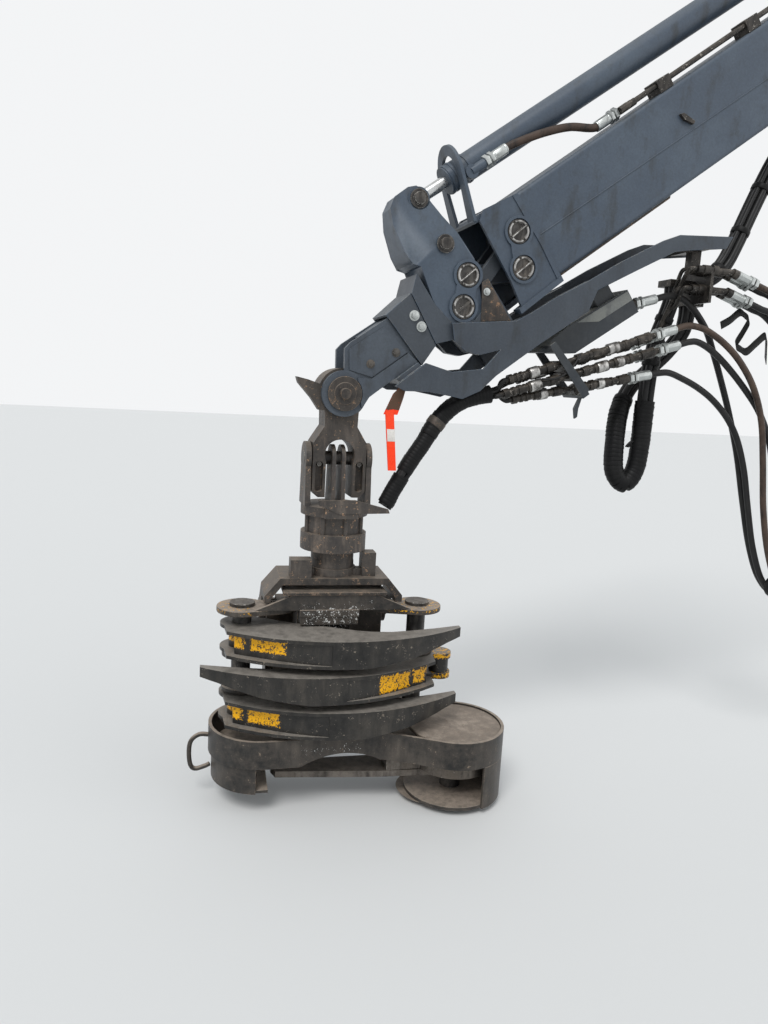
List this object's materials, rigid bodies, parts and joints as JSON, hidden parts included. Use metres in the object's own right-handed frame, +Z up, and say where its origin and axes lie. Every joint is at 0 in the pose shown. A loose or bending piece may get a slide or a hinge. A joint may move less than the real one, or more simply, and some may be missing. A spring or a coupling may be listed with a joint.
{
  "type": "harvester crane boom with felling head",
  "caption": "Outer boom of a forestry harvester with a folding linkage, hose guard, hanging rotator and a felling head with arms and knife.",
  "frame": {"origin": "centre of the boom's base pin bore", "axes": "+Z up, X in the crane plane with the boom's tip towards -X, Y across the boom along its pins"},
  "size_m": [3.176, 0.6235, 3.6358],
  "materials": {
    "boom_paint": "dark blue grey paint, dusty and scuffed",
    "pin_steel": "dark greasy steel with rubbed rims",
    "rusty_steel": "dark rusty steel with dried mud",
    "rod_chrome": "hard chrome, bright",
    "coupler_steel": "zinc plated, dirty",
    "head_paint": "black paint worn to brown steel",
    "dusty_steel": "bare steel with pale dust",
    "arm_paint": "black grime over chipped yellow paint",
    "hose_rubber": "black hydraulic hose, dusty",
    "marker_orange": "faded bright orange marker with a white band",
    "knife_steel": "ground steel, dusty"
  },
  "bodies": {
    "boom": {"boom_beam": "boom_paint", "boom_end": "boom_paint", "boom_end_pins": "pin_steel", "boom_base": "boom_paint", "cylinder_lugs": "boom_paint", "cylinder_rear_pin": "pin_steel", "lift_lugs": "boom_paint", "wear_strip": "rusty_steel", "boom_pipes": "coupler_steel"},
    "cylinder_tube": {"cylinder_tube": "boom_paint"},
    "cylinder_rod": {"cylinder_rod": "rod_chrome"},
    "link_lower": {"link_lower": "boom_paint"},
    "link_upper": {"link_upper": "boom_paint"},
    "knuckle": {"knuckle_plates": "boom_paint", "knuckle_pins": "pin_steel", "rod_pin": "pin_steel", "knuckle_web": "boom_paint", "nose_socket": "boom_paint", "collar": "boom_paint", "nose": "boom_paint", "nose_pin": "rusty_steel", "guard": "boom_paint", "manifold": "boom_paint", "couplers": "coupler_steel", "bulkhead": "coupler_steel", "marker": "marker_orange", "hose_1": "hose_rubber", "hose_2": "hose_rubber", "hose_3": "hose_rubber", "hose_4": "hose_rubber", "hose_bundle": "hose_rubber", "hose_sleeve": "hose_rubber"},
    "hanger": {"hanger": "rusty_steel", "cross_pin": "pin_steel"},
    "rotator": {"rotator_clevis": "rusty_steel", "rotator_body": "rusty_steel"},
    "rotor": {"rotor_hub": "rusty_steel", "yoke": "rusty_steel"},
    "head": {"wing_plate": "head_paint", "ear_plates": "head_paint", "head_box": "head_paint", "middle_box": "head_paint", "rear_frame": "head_paint", "head_cover": "rusty_steel", "shaft_left": "pin_steel", "shaft_right": "pin_steel", "tilt_pins": "pin_steel", "base_wall": "head_paint", "base_deck": "head_paint", "base_cover": "dusty_steel", "skirt": "head_paint", "skid_dish": "dusty_steel", "handle": "head_paint", "knife_pin": "pin_steel"},
    "left_arms": {"arm_upper": "arm_paint", "arm_lower": "arm_paint"},
    "right_arm": {"arm_middle": "arm_paint"},
    "knife": {"knife_carrier": "knife_steel", "knife": "knife_steel"}
  },
  "joints": [
    {"name": "knuckle_fold", "type": "hinge", "parent": "boom", "child": "knuckle", "pos_m": [-2.03726, 0, -1.54525], "axis": [0, -1, 0], "range_deg": [-4, 10]},
    {"name": "lower_link_turn", "type": "hinge", "parent": "boom", "child": "link_lower", "pos_m": [-1.90796, 0, -1.51914], "axis": [0, -1, 0], "range_deg": [-1.6, 3.8]},
    {"name": "upper_link_turn", "type": "hinge", "parent": "boom", "child": "link_upper", "pos_m": [-1.93783, 0, -1.3964], "axis": [0, -1, 0], "range_deg": [-2, 4.7]},
    {"name": "cylinder_swing", "type": "hinge", "parent": "boom", "child": "cylinder_tube", "pos_m": [-0.81751, 0, -0.21786], "axis": [0, -1, 0], "range_deg": [-0.25, 0.55]},
    {"name": "rod_slide", "type": "slide", "parent": "cylinder_tube", "child": "cylinder_rod", "axis": [-0.8038, 0, -0.5949], "range_m": [-0.025, 0.062]},
    {"name": "hanger_swing", "type": "hinge", "parent": "knuckle", "child": "hanger", "pos_m": [-2.53747, 0, -1.99977], "axis": [0, 1, 0], "range_deg": [-35, 35]},
    {"name": "rotator_roll", "type": "hinge", "parent": "hanger", "child": "rotator", "pos_m": [-2.53747, 0, -2.23577], "axis": [1, 0, 0], "range_deg": [-15, 15]},
    {"name": "rotator_spin", "type": "hinge", "parent": "rotator", "child": "rotor", "pos_m": [-2.53747, 0, -2.57177], "axis": [0, 0, 1], "continuous": true},
    {"name": "head_tilt", "type": "hinge", "parent": "rotor", "child": "head", "pos_m": [-2.527, 0.19973, -2.87377], "axis": [0.9986, -0.0523, 0], "range_deg": [0, 80]},
    {"name": "left_arms_close", "type": "hinge", "parent": "head", "child": "left_arms", "pos_m": [-2.86911, -0.02267, -2.94377], "axis": [0, 0, -1], "range_deg": [0, 75]},
    {"name": "right_arm_close", "type": "hinge", "parent": "head", "child": "right_arm", "pos_m": [-2.21002, -0.05722, -3.02377], "axis": [0, 0, 1], "range_deg": [0, 75]},
    {"name": "knife_swing", "type": "hinge", "parent": "head", "child": "knife", "pos_m": [-2.06546, -0.16493, -3.39777], "axis": [0, 0, 1], "range_deg": [0, 80]}
  ],
  "couplings": [
    {"joint": "lower_link_turn", "follows": "knuckle_fold", "ratio": 0.367},
    {"joint": "upper_link_turn", "follows": "knuckle_fold", "ratio": 0.4583},
    {"joint": "cylinder_swing", "follows": "knuckle_fold", "ratio": 0.049},
    {"joint": "rod_slide", "follows": "knuckle_fold", "m_per_rad": 0.337}
  ]
}
